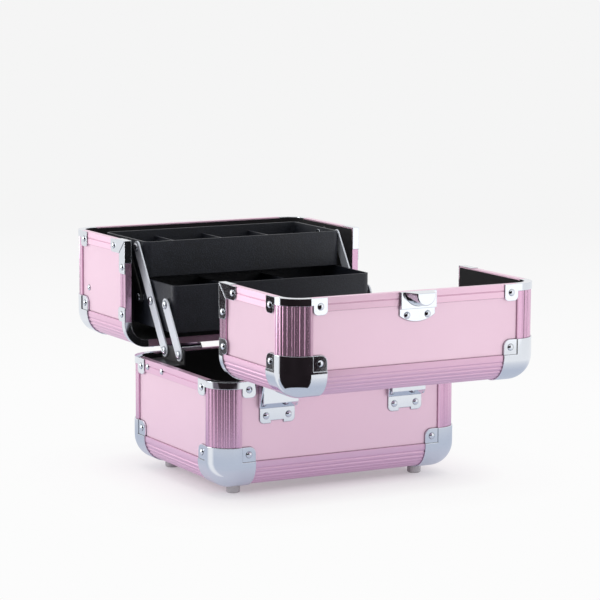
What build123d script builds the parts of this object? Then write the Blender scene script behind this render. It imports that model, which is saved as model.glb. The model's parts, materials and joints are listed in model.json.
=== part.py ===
from build123d import *
import os
from math import cos, radians, sin

os.makedirs("parts", exist_ok=True)

# Overall sizes of the case, in mm
case_width = 240.0
front_depth = 83.0
back_depth = 97.0
base_height = 93.0
lid_height = 120.0
foot_height = 8.2
seam_gap = 1.0
hinge_offset = 3.8

# Wall build-up, from the outside in
skin = 1.5
panel_thickness = 3.2
lining_thickness = 1.2
panel_clearance = 0.2

# Fluted edge profiles
edge_radius = 21.0
edge_flat = 2.0
flute_count = 7
flute_radius = 1.6
flute_depth = 0.5
flute_margin = 12.0

# Rim angles that close the cut edges of the walls
rim_height = 11.0
rim_web = 1.2
rim_groove = 0.5

# Chromed corners and caps
cap_ear_length = 13.0
ball_skin = 1.0
ear_proud = 0.3
ear_corner = 6.0
cap_skin = 0.8
cap_band = 6.0
cap_ear = 14.0
cap_plate = 1.0
cap_corner = 4.0
bracket_leg = 30.0
bracket_width = 12.0
bracket_fold = 20.0
fold_sheet = 0.4
mitre_width = 0.9
mitre_depth = 0.4
rivet_radius = 2.8
rivet_height = 1.6
rivet_lip = 0.4

# Feet
foot_radius = 6.0
foot_round = 1.5

# Stop hinges
hinge_cap_gap = 2.8
hinge_width = 33.5
hinge_sheet = 1.2
barrel_radius = 2.8
hinge_pin_radius = 1.2
pin_clearance = 0.05
knuckle_width = 12.0
knuckle_gap = 0.3
foot_plate_top = 25.0
foot_plate_end = 38.0
foot_notch_width = 12.4
foot_notch_depth = 2.3
foot_plate_corner = 4.0
joggle_rise = 5.0
barrel_relief = 0.5
cheek_sheet = 1.4
cheek_reach = 8.0
cheek_drop = 24.0
cheek_toe = 1.2
cheek_waist = 6.0
cheek_gap = 0.8
stop_gap = 0.4
hinge_rivet_inset = 6.0

# Trays and their linkage
tray_side_room = 14.1
tray_depth = 88.0
tray_wall = 2.0
tray_corner = 6.0
tray_gap = 1.0
lower_tray_margin = 10.0
lower_pivot_rise = 24.6
lower_tray_height = 42.0
upper_tray_margin = 10.8
upper_pivot_drop = 5.5
upper_tray_height = 32.0
divider_thickness = 1.6
divider_drop = 6.0
lower_dividers = 2
upper_dividers = 3
bracket_cap_gap = 6.0
arm_floor_gap = 1.9
link_spacing = 29.0
lower_arm_length = 49.5
open_lean = 33.7
upper_link_spacing = 25.0
arm_width = 11.0
arm_thickness = 1.4
arm_side_gap = 0.6
tray_spacer = 2.0
pivot_radius = 2.0
pivot_head_radius = 3.6
pivot_head = 1.0
bracket_sheet = 1.2
bracket_margin = 8.0
bracket_drop = 12.0
bracket_rivet_drop = 6.5
lid_rivet_inset = 36.0
lid_rivet_rise = 44.5

# Latch
latch_width = 33.5
latch_block = 14.0
latch_proud = 2.4
latch_flange = 11.0
latch_sheet = 1.2
latch_rivet_inset = 7.0
catch_margin = 2.85
catch_lip = 2.0
catch_height = 12.0
catch_side_draft = 5.6
catch_end_draft = 1.5
catch_round = 0.8
lever_axis_inset = 9.0
lever_thickness = 3.0
lever_clearance = 0.8
lever_rim = 3.5
lever_barrel_radius = 3.2
lever_barrel_gap = 0.4
latch_pin_radius = 1.5
lug_radius = 4.6
lug_thickness = 3.0
lug_clearance = 0.4
lug_margin = 2.1

# Handle
handle_span = 104.0
handle_axis_inset = 24.0
handle_grip_gap = 1.5
handle_length = 34.0
handle_grip_radius = 6.5
handle_grip_round = 5.0
handle_arm_width = 9.0
handle_arm_thickness = 5.0
handle_lug = 1.6
handle_lug_gap = 0.5
handle_lug_radius = 5.0
handle_foot_length = 24.0
handle_pin_radius = 2.0

# Places worked out from the sizes above
half_width = case_width / 2
half_depth = (front_depth + back_depth) / 2
seam_z = foot_height + ear_proud + base_height
base_bottom = foot_height + ear_proud
half_gap = seam_gap / 2
panel_back = skin + panel_thickness
wall = panel_back + lining_thickness
panel_edge = edge_radius + panel_clearance
edge_leg = edge_radius + edge_flat
cap_reach = edge_leg + cap_ear_length
touch = 0.01
base_rim_z = seam_z - half_gap
ear_middle = (edge_leg + cap_reach) / 2
bore_radius = hinge_pin_radius + pin_clearance

base_frame = Plane.XY
front_frame = Plane((0, -half_depth - hinge_offset, seam_z + hinge_offset), (-1, 0, 0), (0, 0, 1))
back_frame = Plane((0, half_depth + hinge_offset, seam_z + hinge_offset), (1, 0, 0), (0, 0, 1))
front_hinge = front_frame.offset(-hinge_offset)
back_hinge = back_frame.offset(-hinge_offset)

# Each lid's frame has x across, y from its base rim to its top, and z from its wall to the seam
RIGHT = Vector(1, 0, 0)
AWAY = Vector(0, 1, 0)
UP = Vector(0, 0, 1)


def place(frame, origin, x_dir, y_dir):
    """Plane given by its origin and its x and y directions in a frame's own coordinates."""
    local = Plane(origin=origin, x_dir=x_dir, z_dir=x_dir.cross(y_dir))
    return Plane(frame.location * local.location)


def save(node, label):
    """Names a finished sub-part and writes its STEP file."""
    node.part.label = label
    export_step(node.part, f"parts/{label}.step")


def edge_runs(label, frame, runs):
    """Fluted quarter-round profiles; each run is its middle, two inward directions and its length."""
    centre = (edge_radius, edge_radius)
    with BuildPart() as edges:
        for middle, inward, across, length in runs:
            with BuildSketch(place(frame, middle, inward, across)):
                with BuildLine():
                    CenterArc(centre, edge_radius, 180, 90)
                    Polyline((edge_radius, 0), (edge_leg, 0), (edge_leg, skin), (edge_radius, skin))
                    CenterArc(centre, edge_radius - skin, 180, 90)
                    Polyline((skin, edge_radius), (skin, edge_leg), (0, edge_leg), (0, edge_radius))
                make_face()
                with Locations(centre):
                    with PolarLocations(
                        edge_radius + flute_radius - flute_depth,
                        flute_count,
                        180 + flute_margin,
                        90 - 2 * flute_margin,
                        endpoint=True,
                    ):
                        Circle(flute_radius, mode=Mode.SUBTRACT)
            extrude(amount=length / 2, both=True)
    save(edges, label)


def rim_runs(label, frame, runs, end_webs=()):
    """Rim angles over the cut wall edges; each run is its middle, inward, depthward and length."""
    with BuildPart() as rims:
        for middle, inward, depthward, length in runs:
            with BuildSketch(place(frame, middle, inward, depthward)):
                Rectangle(wall, rim_height, align=Align.MIN)
                with Locations((skin, rim_web)):
                    Rectangle(wall, rim_height, align=Align.MIN, mode=Mode.SUBTRACT)
                with Locations((0, rim_height / 2)):
                    Circle(rim_groove, mode=Mode.SUBTRACT)
            extrude(amount=length / 2, both=True)
        for corner, inward, depthward in end_webs:
            with BuildSketch(place(frame, corner, inward, depthward)):
                Rectangle(wall, rim_height, align=Align.MIN)
            extrude(amount=rim_web)
    save(rims, label)


def panel(label, frame, low, high):
    """Flat board between two opposite corners in a frame's own coordinates."""
    size = Vector(*high) - Vector(*low)
    with BuildPart(frame) as board:
        with Locations(low):
            Box(size.X, size.Y, size.Z, align=Align.MIN)
    save(board, label)


def copies(label, piece, planes):
    """One node that holds a copy of a piece on each plane."""
    with BuildPart() as group:
        for plane in planes:
            with Locations(plane.location):
                add(piece.part)
    save(group, label)


# Ball corner, with its sharp corner at the origin and its three faces inward along x, y and z
def corner_block(low, high, radius):
    """Cube with its three edges at the low corner rounded into a ball."""
    size = high - low
    with BuildPart() as block:
        with Locations((low, low, low)):
            Box(size, size, size, align=Align.MIN)
        at_corner = block.vertices().sort_by_distance((low, low, low))[0]
        fillet([edge for edge in block.edges() if edge.distance_to(at_corner) < touch], radius)
    return block


corner_shell = corner_block(-ball_skin, cap_reach, edge_radius + ball_skin)
corner_core = corner_block(0, cap_reach + ball_skin, edge_radius)

with BuildPart() as ball_corner:
    add(corner_shell.part)
    add(corner_core.part, mode=Mode.SUBTRACT)
    for inward, across in ((RIGHT, AWAY), (AWAY, UP), (UP, RIGHT)):
        ear_plane = place(base_frame, (0, 0, 0), inward, across)
        with BuildSketch(ear_plane.offset(-ball_skin)):
            with Locations((edge_leg, edge_leg)):
                Rectangle(cap_ear_length, cap_ear_length, align=Align.MIN)
        extrude(amount=ball_skin, mode=Mode.SUBTRACT)
        with BuildSketch(ear_plane.offset(-ear_proud)) as ear:
            with Locations((edge_leg, edge_leg)):
                Rectangle(cap_ear_length, cap_ear_length, align=Align.MIN)
            fillet(ear.vertices().sort_by_distance((0, 0, 0))[-1], ear_corner)
        extrude(amount=ear_proud + skin)

# Rim cap, with the sharp corner at the origin, the two faces inward along x and y, and z into the part
with BuildPart() as rim_cap:
    centre = (edge_radius, edge_radius)
    outside = edge_radius + cap_skin
    inside = edge_radius - wall
    with BuildSketch():
        with BuildLine():
            CenterArc(centre, outside, 180, 90)
            Polyline((edge_radius, -cap_skin), (cap_reach, -cap_skin), (cap_reach, 0), (edge_radius, 0))
            CenterArc(centre, edge_radius, 180, 90)
            Polyline((0, edge_radius), (0, cap_reach), (-cap_skin, cap_reach), (-cap_skin, edge_radius))
        make_face()
    extrude(amount=cap_band)
    with BuildSketch():
        with BuildLine():
            CenterArc(centre, outside, 180, 90)
            Polyline(
                (edge_radius, -cap_skin),
                (edge_leg, -cap_skin),
                (edge_leg, wall),
                (edge_radius, wall),
            )
            CenterArc(centre, inside, 180, 90)
            Polyline(
                (wall, edge_radius),
                (wall, edge_leg),
                (-cap_skin, edge_leg),
                (-cap_skin, edge_radius),
            )
        make_face()
    extrude(amount=cap_plate)
    for inward, across, toward in ((RIGHT, UP, 1), (AWAY, UP, -1)):
        with BuildSketch(place(base_frame, (0, 0, 0), inward, across)) as ear:
            with Locations((edge_leg, 0)):
                Rectangle(cap_ear_length, cap_ear, align=Align.MIN)
            fillet(ear.vertices().group_by(Axis.Z)[-1], cap_corner)
        extrude(amount=toward * cap_skin)

# Mitred corner bracket, flat on the x and y axes with its outer corner at the origin and z outward,
# folded over the two rims that meet there
with BuildPart() as corner_bracket:
    with BuildSketch() as outline:
        with BuildLine():
            Polyline(
                (0, 0),
                (bracket_leg, 0),
                (bracket_leg, bracket_width),
                (bracket_width, bracket_width),
                (bracket_width, bracket_leg),
                (0, bracket_leg),
                close=True,
            )
        make_face()
        leg_ends = [v for v in outline.vertices() if max(v.X, v.Y) > bracket_leg - touch]
        fillet([v for v in leg_ends if min(v.X, v.Y) > touch], cap_corner)
    extrude(amount=cap_skin)
    with BuildSketch(Plane.XY.offset(cap_skin)):
        with Locations(Location((bracket_width / 2, bracket_width / 2), 45)):
            Rectangle(2 * bracket_width, mitre_width)
    extrude(amount=-mitre_depth, mode=Mode.SUBTRACT)
    with Locations((-fold_sheet, -fold_sheet, -wall)):
        Box(fold_sheet + bracket_fold, fold_sheet, wall + cap_skin, align=Align.MIN)
        Box(fold_sheet, fold_sheet + bracket_fold, wall + cap_skin, align=Align.MIN)

# Domed rivet head, seated on its plane with z outward
with BuildPart() as rivet:
    with BuildSketch(Plane.XZ):
        with BuildLine():
            TangentArc((0, rivet_height), (rivet_radius, rivet_lip), tangent=(1, 0))
            Polyline((rivet_radius, rivet_lip), (rivet_radius, 0), (0, 0), (0, rivet_height))
        make_face()
    revolve(axis=Axis.Z)


def on_face(frame, point, outward):
    """Plane at a point of a face, with z pointing out of it."""
    x_dir = AWAY if outward.X else RIGHT
    return place(frame, point, x_dir, outward.cross(x_dir))


# Base box
low_edge = base_bottom + panel_edge
top_edge = base_rim_z - rim_web
for name, side in (("left", -1), ("right", 1)):
    near = side * (half_width - skin)
    far = side * (half_width - panel_back)
    panel(
        f"base_{name}_panel",
        base_frame,
        (min(near, far), -half_depth + panel_edge, low_edge),
        (max(near, far), half_depth - panel_edge, top_edge),
    )
for name, side in (("front", -1), ("back", 1)):
    near = side * (half_depth - skin)
    far = side * (half_depth - panel_back)
    panel(
        f"base_{name}_panel",
        base_frame,
        (-half_width + panel_edge, min(near, far), low_edge),
        (half_width - panel_edge, max(near, far), top_edge),
    )
panel(
    "base_bottom_panel",
    base_frame,
    (-half_width + panel_edge, -half_depth + panel_edge, base_bottom + skin),
    (half_width - panel_edge, half_depth - panel_edge, base_bottom + panel_back),
)

with BuildPart() as base_lining:
    with BuildSketch(Plane.XY.offset(base_bottom + panel_back)):
        RectangleRounded(
            2 * (half_width - panel_back),
            2 * (half_depth - panel_back),
            edge_radius - panel_back,
        )
    extrude(amount=top_edge - base_bottom - panel_back)
    fillet(base_lining.edges().group_by(Axis.Z)[0], edge_radius - panel_back)
    offset(amount=-lining_thickness, openings=base_lining.faces().sort_by(Axis.Z)[-1])
save(base_lining, "base_lining")

corner_signs = [(sx, sy) for sx in (-1, 1) for sy in (-1, 1)]
post_low = base_bottom + edge_leg
post_high = base_rim_z - cap_plate
edge_runs(
    "base_posts",
    base_frame,
    [
        (
            (sx * half_width, sy * half_depth, (post_low + post_high) / 2),
            RIGHT * -sx,
            AWAY * -sy,
            post_high - post_low,
        )
        for sx, sy in corner_signs
    ],
)
long_run = case_width - 2 * edge_leg
short_run = 2 * half_depth - 2 * edge_leg
edge_runs(
    "base_bottom_edges",
    base_frame,
    [((0, sy * half_depth, base_bottom), AWAY * -sy, UP, long_run) for sy in (-1, 1)]
    + [((sx * half_width, 0, base_bottom), RIGHT * -sx, UP, short_run) for sx in (-1, 1)],
)
rim_runs(
    "base_rims",
    base_frame,
    [((0, sy * half_depth, base_rim_z), AWAY * -sy, UP * -1, long_run) for sy in (-1, 1)]
    + [((sx * half_width, 0, base_rim_z), RIGHT * -sx, UP * -1, short_run) for sx in (-1, 1)],
)


def corner_plane(frame, corner, inward, across, third):
    """Plane on a sharp corner whose x and y point inward and whose z follows the third direction."""
    if inward.cross(across).dot(third) > 0:
        return place(frame, corner, inward, across)
    return place(frame, corner, across, inward)


copies(
    "base_ball_corners",
    ball_corner,
    [
        corner_plane(base_frame, (sx * half_width, sy * half_depth, base_bottom), RIGHT * -sx, AWAY * -sy, UP)
        for sx, sy in corner_signs
    ],
)
copies(
    "base_rim_caps",
    rim_cap,
    [
        corner_plane(
            base_frame,
            (sx * half_width, sy * half_depth, base_rim_z),
            RIGHT * -sx,
            AWAY * -sy,
            UP * -1,
        )
        for sx, sy in corner_signs
    ],
)

with BuildPart() as feet:
    with GridLocations(2 * (half_width - ear_middle), 2 * (half_depth - ear_middle), 2, 2):
        Cylinder(foot_radius, foot_height, align=(Align.CENTER, Align.CENTER, Align.MIN))
    fillet(feet.edges().group_by(Axis.Z)[0], foot_round)
save(feet, "feet")

# Rivets of the base: two on each ball corner, rim cap and hinge, and four for the tray brackets
cap_rivet = cap_ear / 2
ball_rivet_z = base_bottom + ear_middle
hinge_rivet_z = seam_z - (foot_plate_top + foot_plate_end) / 2
base_rivet_planes = []
for sx, sy in corner_signs:
    x_ear = sx * (half_width - ear_middle)
    y_ear = sy * (half_depth - ear_middle)
    for proud, z in ((ear_proud, ball_rivet_z), (cap_skin, base_rim_z - cap_rivet)):
        base_rivet_planes.append(on_face(base_frame, (x_ear, sy * (half_depth + proud), z), AWAY * sy))
        base_rivet_planes.append(on_face(base_frame, (sx * (half_width + proud), y_ear, z), RIGHT * sx))
hinge_foot_face = half_depth - skin + hinge_sheet
half_hinge = hinge_width / 2
hinge_x = half_width - cap_reach - hinge_cap_gap - cheek_sheet - half_hinge
hinge_xs = (-hinge_x, hinge_x)
hinge_rivet_xs = [x + step * (half_hinge - hinge_rivet_inset) for x in hinge_xs for step in (-1, 1)]
for sy in (-1, 1):
    for x in hinge_rivet_xs:
        base_rivet_planes.append(on_face(base_frame, (x, sy * hinge_foot_face, hinge_rivet_z), AWAY * sy))
base_pivot_y = half_depth - cap_reach - bracket_cap_gap
for sx in (-1, 1):
    for y in (base_pivot_y, base_pivot_y - link_spacing):
        point = (sx * half_width, y, seam_z - bracket_rivet_drop)
        base_rivet_planes.append(on_face(base_frame, point, RIGHT * sx))
copies("base_rivets", rivet, base_rivet_planes)


# Hinges: each frame has its origin on the pin, x along it, y outward from the wall and z up
half_knuckle = knuckle_width / 2
panel_face = -hinge_offset - skin
tangent = barrel_radius - hinge_sheet
joggle_top = foot_plate_top - joggle_rise
relief = barrel_radius + barrel_relief


def base_leaves(label, frame):
    """Leaves on the base: riveted foot, raised plate, two knuckles and two stop cheeks each."""
    with BuildPart() as leaves:
        for x in hinge_xs:
            with BuildSketch(place(frame, (x, 0, 0), AWAY, UP)):
                with BuildLine():
                    Polyline(
                        (panel_face, -foot_plate_end),
                        (panel_face, -foot_plate_top + hinge_sheet),
                        (tangent, -joggle_top + hinge_sheet),
                        (tangent, 0),
                        (barrel_radius, 0),
                        (barrel_radius, -joggle_top),
                        (panel_face + hinge_sheet, -foot_plate_top),
                        (panel_face + hinge_sheet, -foot_plate_end),
                        close=True,
                    )
                make_face()
            extrude(amount=half_hinge, both=True)
            with BuildSketch(place(frame, (x, panel_face, -foot_plate_end), RIGHT, UP)):
                Rectangle(foot_notch_width, 2 * foot_notch_depth)
                for side in (-1, 1):
                    with Locations((side * half_hinge, 0)):
                        Rectangle(2 * foot_plate_corner, 2 * foot_plate_corner)
                    with Locations((side * (half_hinge - foot_plate_corner), foot_plate_corner)):
                        Circle(foot_plate_corner, mode=Mode.SUBTRACT)
            extrude(amount=-hinge_sheet, mode=Mode.SUBTRACT)
            with BuildSketch(place(frame, (x, 0, 0), AWAY, UP)):
                Circle(barrel_radius)
            extrude(amount=half_hinge, both=True)
            with BuildSketch(place(frame, (x, 0, 0), AWAY, UP)):
                Rectangle(2 * relief, 2 * relief)
            extrude(amount=half_knuckle + knuckle_gap, both=True, mode=Mode.SUBTRACT)
            with BuildSketch(place(frame, (x, 0, 0), AWAY, UP)):
                Circle(hinge_pin_radius)
            extrude(amount=half_hinge, both=True, mode=Mode.SUBTRACT)
            for side in (-1, 1):
                cheek_side = x + side * (half_hinge + cheek_sheet / 2)
                cheek_front = cheek_reach - hinge_offset
                cheek_back = cheek_gap - hinge_offset
                with BuildSketch(place(frame, (cheek_side, 0, 0), AWAY, UP)):
                    with BuildLine():
                        Polyline(
                            (cheek_back, -cheek_drop),
                            (cheek_back + cheek_toe, -cheek_drop),
                            (cheek_front, -cheek_waist),
                            (cheek_front, hinge_offset - stop_gap),
                            (0, hinge_offset - stop_gap),
                            (cheek_back, -cheek_gap),
                            close=True,
                        )
                    make_face()
                extrude(amount=cheek_sheet / 2, both=True)
    save(leaves, label)


def lid_leaves(label, frame):
    """Leaves on a lid, as they lie when it is open: riveted foot, joggled plate and middle knuckle."""
    foot_face = hinge_offset + skin
    with BuildPart() as leaves:
        for x in hinge_xs:
            with BuildSketch(place(frame, (x, 0, 0), AWAY, UP)):
                with BuildLine():
                    Polyline(
                        (0, tangent),
                        (joggle_top + hinge_sheet, tangent),
                        (foot_plate_top, foot_face - hinge_sheet),
                        (foot_plate_end, foot_face - hinge_sheet),
                        (foot_plate_end, foot_face),
                        (foot_plate_top - hinge_sheet, foot_face),
                        (joggle_top, barrel_radius),
                        (0, barrel_radius),
                        close=True,
                    )
                make_face()
            extrude(amount=half_hinge, both=True)
            for side in (-1, 1):
                with BuildSketch(place(frame, (x + side * half_hinge, 0, 0), AWAY, UP)):
                    Rectangle(2 * relief, 2 * relief)
                extrude(amount=half_hinge - half_knuckle, both=True, mode=Mode.SUBTRACT)
            with BuildSketch(place(frame, (x, 0, 0), AWAY, UP)):
                Circle(barrel_radius)
            extrude(amount=half_knuckle, both=True)
            with BuildSketch(place(frame, (x, 0, 0), AWAY, UP)):
                Circle(bore_radius)
            extrude(amount=half_knuckle, both=True, mode=Mode.SUBTRACT)
    save(leaves, label)


base_leaves("front_hinge_leaves", front_hinge)
base_leaves("back_hinge_leaves", back_hinge)

with BuildPart() as hinge_pins:
    for frame in (front_hinge, back_hinge):
        for x in hinge_xs:
            with BuildSketch(place(frame, (x, 0, 0), AWAY, UP)):
                Circle(hinge_pin_radius)
            extrude(amount=half_hinge, both=True)
save(hinge_pins, "hinge_pins")


def lid(prefix, frame, depth, extra_rivets=()):
    """All the pieces of one lid half, open on its base side and on its seam side."""
    rim_in = half_gap + rim_web
    seam_in = depth - half_gap - rim_web
    seam_edge = depth - half_gap
    top = lid_height

    panel(
        f"{prefix}_top_panel",
        frame,
        (-half_width + panel_edge, top - panel_back, panel_edge),
        (half_width - panel_edge, top - skin, seam_in),
    )
    panel(
        f"{prefix}_wall_panel",
        frame,
        (-half_width + panel_edge, rim_in, skin),
        (half_width - panel_edge, top - panel_edge, panel_back),
    )
    for side in (-1, 1):
        name = "left" if side * frame.x_dir.X < 0 else "right"
        near = side * (half_width - skin)
        far = side * (half_width - panel_back)
        panel(
            f"{prefix}_{name}_panel",
            frame,
            (min(near, far), rim_in, panel_edge),
            (max(near, far), top - panel_edge, seam_in),
        )

    with BuildPart() as lining:
        low = Vector(-half_width + panel_back, rim_in, panel_back)
        size = Vector(half_width - panel_back, top - panel_back, seam_in) - low
        with Locations(frame.location * Location(low)):
            Box(size.X, size.Y, size.Z, align=Align.MIN)
        along = Axis((0, 0, 0), frame.y_dir)
        base_face = lining.faces().sort_by(along)[0]
        seam_face = lining.faces().sort_by(Axis.Z)[-1]
        open_edges = base_face.edges() + seam_face.edges()
        closed_edges = [e for e in lining.edges() if not any(e.is_same(o) for o in open_edges)]
        fillet(closed_edges, edge_radius - panel_back)
        base_face = lining.faces().sort_by(along)[0]
        seam_face = lining.faces().sort_by(Axis.Z)[-1]
        offset(amount=-lining_thickness, openings=[base_face, seam_face])
    save(lining, f"{prefix}_lining")

    wall_low = half_gap + cap_plate
    wall_high = top - edge_leg
    top_high = seam_edge - cap_plate
    edge_runs(
        f"{prefix}_edges",
        frame,
        [((0, top, 0), AWAY * -1, UP, long_run)]
        + [
            (
                (sx * half_width, (wall_low + wall_high) / 2, 0),
                RIGHT * -sx,
                UP,
                wall_high - wall_low,
            )
            for sx in (-1, 1)
        ]
        + [
            (
                (sx * half_width, top, (edge_leg + top_high) / 2),
                RIGHT * -sx,
                AWAY * -1,
                top_high - edge_leg,
            )
            for sx in (-1, 1)
        ],
    )

    rim_end = seam_edge - rim_height
    rim_runs(
        f"{prefix}_base_rim",
        frame,
        [((0, half_gap, 0), UP, AWAY, long_run)]
        + [
            (
                (sx * half_width, half_gap, (edge_leg + rim_end) / 2),
                RIGHT * -sx,
                AWAY,
                rim_end - edge_leg,
            )
            for sx in (-1, 1)
        ],
    )
    side_run = wall_high - half_gap
    rim_runs(
        f"{prefix}_seam_rim",
        frame,
        [((0, top, seam_edge), AWAY * -1, UP * -1, long_run)]
        + [
            ((sx * half_width, half_gap + side_run / 2, seam_edge), RIGHT * -sx, UP * -1, side_run)
            for sx in (-1, 1)
        ],
        end_webs=[
            ((-half_width, half_gap, seam_edge), RIGHT, UP * -1),
            ((half_width, half_gap + rim_web, seam_edge), RIGHT * -1, UP * -1),
        ],
    )

    copies(
        f"{prefix}_ball_corners",
        ball_corner,
        [corner_plane(frame, (sx * half_width, top, 0), RIGHT * -sx, AWAY * -1, UP) for sx in (-1, 1)],
    )
    copies(
        f"{prefix}_rim_caps",
        rim_cap,
        [corner_plane(frame, (sx * half_width, half_gap, 0), RIGHT * -sx, UP, AWAY) for sx in (-1, 1)]
        + [
            corner_plane(frame, (sx * half_width, top, seam_edge), RIGHT * -sx, AWAY * -1, UP * -1)
            for sx in (-1, 1)
        ],
    )
    copies(
        f"{prefix}_corner_brackets",
        corner_bracket,
        [
            corner_plane(frame, (sx * half_width, half_gap, seam_edge), AWAY, UP * -1, RIGHT * sx)
            for sx in (-1, 1)
        ],
    )

    # Rivets on the ball corners, the rim caps, the corner brackets and the hinge leaves
    planes = list(extra_rivets)
    bracket_rivet = bracket_leg - bracket_width / 2
    for sx in (-1, 1):
        end = RIGHT * sx
        x_ear = sx * (half_width - ear_middle)
        y_ear = top - ear_middle
        proud = half_width + ear_proud
        planes.append(on_face(frame, (x_ear, top + ear_proud, ear_middle), AWAY))
        planes.append(on_face(frame, (x_ear, y_ear, -ear_proud), UP * -1))
        planes.append(on_face(frame, (sx * proud, y_ear, ear_middle), end))
        proud = half_width + cap_skin
        planes.append(on_face(frame, (sx * proud, half_gap + cap_rivet, ear_middle), end))
        planes.append(on_face(frame, (x_ear, half_gap + cap_rivet, -cap_skin), UP * -1))
        planes.append(on_face(frame, (sx * proud, y_ear, seam_edge - cap_rivet), end))
        planes.append(on_face(frame, (x_ear, top + cap_skin, seam_edge - cap_rivet), AWAY))
        corner_in = half_gap + bracket_width / 2
        planes.append(on_face(frame, (sx * proud, half_gap + bracket_rivet, depth - corner_in), end))
        planes.append(on_face(frame, (sx * proud, corner_in, seam_edge - bracket_rivet), end))
    leaf_face = skin - hinge_sheet
    for x in hinge_rivet_xs:
        planes.append(on_face(frame, (x, (foot_plate_top + foot_plate_end) / 2, leaf_face), UP * -1))
    copies(f"{prefix}_rivets", rivet, planes)


half_latch = latch_width / 2
latch_rivet_x = half_latch - latch_rivet_inset
latch_rivet_z = half_gap + latch_block + latch_flange / 2
latch_face = lid_height - skin + latch_sheet


def latch_rivets(frame, depth):
    """Planes of the two rivets through a latch flange."""
    return [
        on_face(frame, (side * latch_rivet_x, latch_face, depth - latch_rivet_z), AWAY)
        for side in (-1, 1)
    ]


lid_rivet_out = lid_height - lid_rivet_inset
link_rivets = [
    on_face(back_frame, (side * (half_width - skin), lid_rivet_out, lid_rivet_rise), RIGHT * side)
    for side in (-1, 1)
]
lid("front", front_frame, front_depth, latch_rivets(front_frame, front_depth))
lid("back", back_frame, back_depth, latch_rivets(back_frame, back_depth) + link_rivets)
lid_leaves("front_lid_leaves", front_hinge)
lid_leaves("back_lid_leaves", back_hinge)


def latch_base(frame, depth):
    """Plate over the seam rim, its flange on the top panel with an arched lower edge, and their step."""
    top_line = depth - half_gap - latch_block
    step = latch_block - rim_height - lug_clearance
    with BuildPart() as plate:
        with BuildSketch(place(frame, (0, lid_height - skin, top_line), RIGHT, UP)):
            with BuildLine():
                Polyline(
                    (-half_latch, -latch_flange / 2),
                    (-half_latch, 0),
                    (half_latch, 0),
                    (half_latch, -latch_flange / 2),
                )
                ThreePointArc(
                    (half_latch, -latch_flange / 2),
                    (0, -latch_flange),
                    (-half_latch, -latch_flange / 2),
                )
            make_face()
        extrude(amount=-latch_sheet)
        with BuildSketch(place(frame, (0, lid_height - skin, top_line + step / 2), RIGHT, UP)):
            Rectangle(latch_width, step)
        extrude(amount=-(skin + latch_proud))
        with BuildSketch(place(frame, (0, lid_height, top_line + latch_block / 2), RIGHT, UP)):
            Rectangle(latch_width, latch_block)
        extrude(amount=-latch_proud)
    return plate


# Latch keeper on the front lid, with a raised half-round catch that is cut flat at the seam
catch_half = half_latch - catch_margin
catch_reach = latch_block - catch_lip
catch_foot = lid_height + latch_proud
catch_levels = (
    (catch_foot, catch_half, catch_reach),
    (catch_foot + catch_height, catch_half - catch_side_draft, catch_reach - catch_end_draft),
)
keeper_base = latch_base(front_frame, front_depth)
with BuildPart() as latch_keeper:
    add(keeper_base.part)
    for level, half, reach in catch_levels:
        with BuildSketch(place(front_frame, (0, level, front_depth - half_gap), RIGHT, UP)):
            with BuildLine():
                ThreePointArc((-half, 0), (0, -reach), (half, 0))
                Line((half, 0), (-half, 0))
            make_face()
    loft()
    fillet(latch_keeper.edges().group_by(Axis.Y)[0], catch_round)
save(latch_keeper, "latch_keeper")

# Latch plate on the back lid, with two lugs for the lever's pin
lever_axis_rise = latch_proud + lever_barrel_gap + lever_barrel_radius
lever_axis = (0, lid_height + lever_axis_rise, back_depth - lever_axis_inset)
lug_inner = half_latch - lug_margin - lug_thickness
lever_width = 2 * (lug_inner - lug_clearance)
plate_base = latch_base(back_frame, back_depth)
with BuildPart() as latch_plate:
    add(plate_base.part)
    for side in (-1, 1):
        lug_x = side * (lug_inner + lug_thickness / 2)
        with BuildSketch(place(back_frame, (lug_x, lid_height, lever_axis[2]), AWAY, UP)):
            Rectangle(lever_axis_rise, 2 * lug_radius, align=(Align.MIN, Align.CENTER))
            with Locations((lever_axis_rise, 0)):
                Circle(lug_radius)
                Circle(latch_pin_radius, mode=Mode.SUBTRACT)
        extrude(amount=lug_thickness / 2, both=True)
save(latch_plate, "latch_plate")

with BuildPart() as latch_pin:
    with BuildSketch(place(back_frame, lever_axis, AWAY, UP)):
        Circle(latch_pin_radius)
    extrude(amount=lug_inner + lug_thickness, both=True)
save(latch_pin, "latch_pin")

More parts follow.
